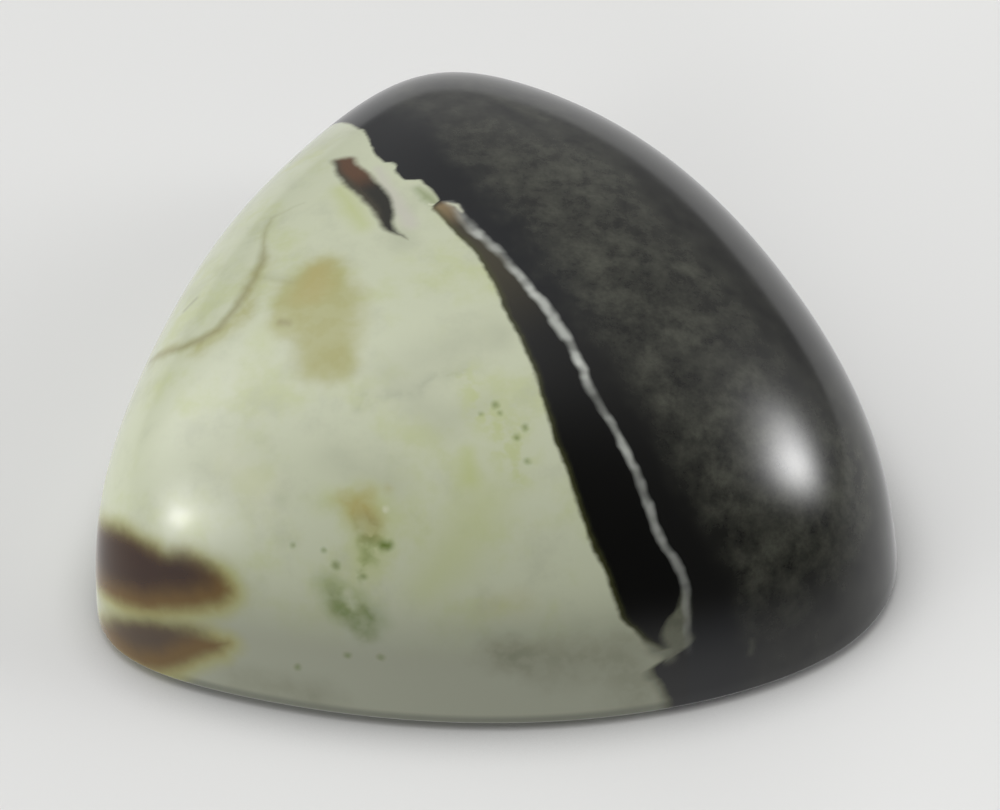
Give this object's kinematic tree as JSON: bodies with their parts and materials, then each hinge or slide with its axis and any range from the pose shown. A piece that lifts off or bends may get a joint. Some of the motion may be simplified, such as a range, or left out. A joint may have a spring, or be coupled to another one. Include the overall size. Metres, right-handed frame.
{
  "type": "peanut jasper cabochon",
  "caption": "Polished stone cabochon with a rounded-triangle outline, a high dome and a flat back, for setting or display.",
  "frame": {"origin": "middle of the flat back, at the centre of the outline's box", "axes": "+Z out of the dome's crown, +X to the right across the front side, +Y towards the back corner"},
  "size_m": [0.0298, 0.0292, 0.0115],
  "materials": {
    "stone": "polished"
  },
  "bodies": {
    "root": {"cabochon": "stone"}
  },
  "joints": []
}
